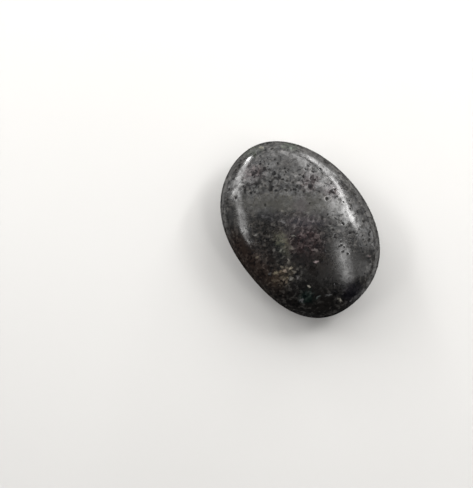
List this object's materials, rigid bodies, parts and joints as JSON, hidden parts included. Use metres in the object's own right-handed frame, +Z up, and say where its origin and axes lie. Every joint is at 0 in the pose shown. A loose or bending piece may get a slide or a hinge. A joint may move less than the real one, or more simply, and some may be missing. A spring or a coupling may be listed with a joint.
{
  "type": "palm stone",
  "caption": "Polished dark palm stone: a smooth, slightly uneven oval pebble that fills the palm and rests on a small flat spot underneath.",
  "frame": {"origin": "on the surface that the stone rests on, under the middle of its box", "axes": "+X along the stone, +Y across it, +Z up through the crown"},
  "size_m": [0.072, 0.0534, 0.0235],
  "materials": {
    "polished_stone": "polished, with fine dull pits and grains"
  },
  "bodies": {
    "root": {"palm_stone": "polished_stone"}
  },
  "joints": []
}
